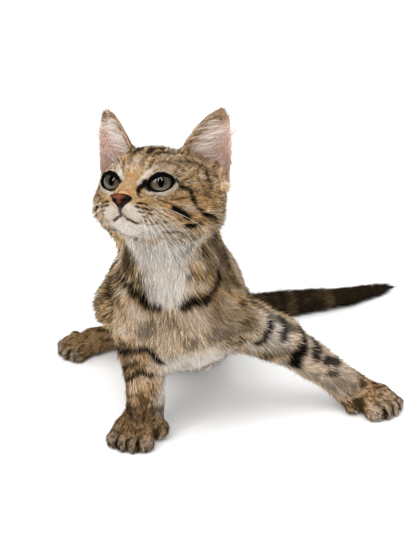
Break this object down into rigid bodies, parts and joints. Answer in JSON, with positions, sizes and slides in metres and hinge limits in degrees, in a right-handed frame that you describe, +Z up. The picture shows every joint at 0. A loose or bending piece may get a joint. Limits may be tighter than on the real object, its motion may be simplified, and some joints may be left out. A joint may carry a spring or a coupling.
{
  "type": "tabby kitten model",
  "caption": "Still, life-size model of a tabby kitten sitting back on its rump, head turned, one foreleg stretched out to the side and its tail along the floor.",
  "frame": {"origin": "on the floor, below the middle of the kitten's box", "axes": "+Z up; -Y is the side that the kitten's chest and head face; +X is to the kitten's left"},
  "size_m": [0.231, 0.2578, 0.1991],
  "materials": {
    "coat": "short ticked tabby fur, soft and matt with a slight sheen, black bars on grey-brown, cream below",
    "ear": "thin pink skin under very short fur, with pale hair inside",
    "eye": "wet, clear cornea over a grey-green iris and a dark pupil",
    "nose_leather": "fine pebbled, slightly moist brick-red skin",
    "claw": "smooth translucent horn",
    "whisker": "stiff tapered white hair"
  },
  "bodies": {
    "root": {"neck": "coat", "chest": "coat", "belly": "coat", "rump": "coat", "tail_base": "coat", "tail_middle": "coat", "tail_tip": "coat", "foreleg_right_upper": "coat", "foreleg_right_lower": "coat", "foreleg_right_paw": "coat", "foreleg_left_upper": "coat", "foreleg_left_lower": "coat", "foreleg_left_paw": "coat", "hindleg_right_thigh": "coat", "hindleg_right_foot": "coat", "hindleg_left_thigh": "coat", "hindleg_left_foot": "coat", "nose": "nose_leather", "head": "coat", "eye_left": "eye", "eye_right": "eye", "ear_left": "ear", "ear_right": "ear"}
  },
  "joints": []
}
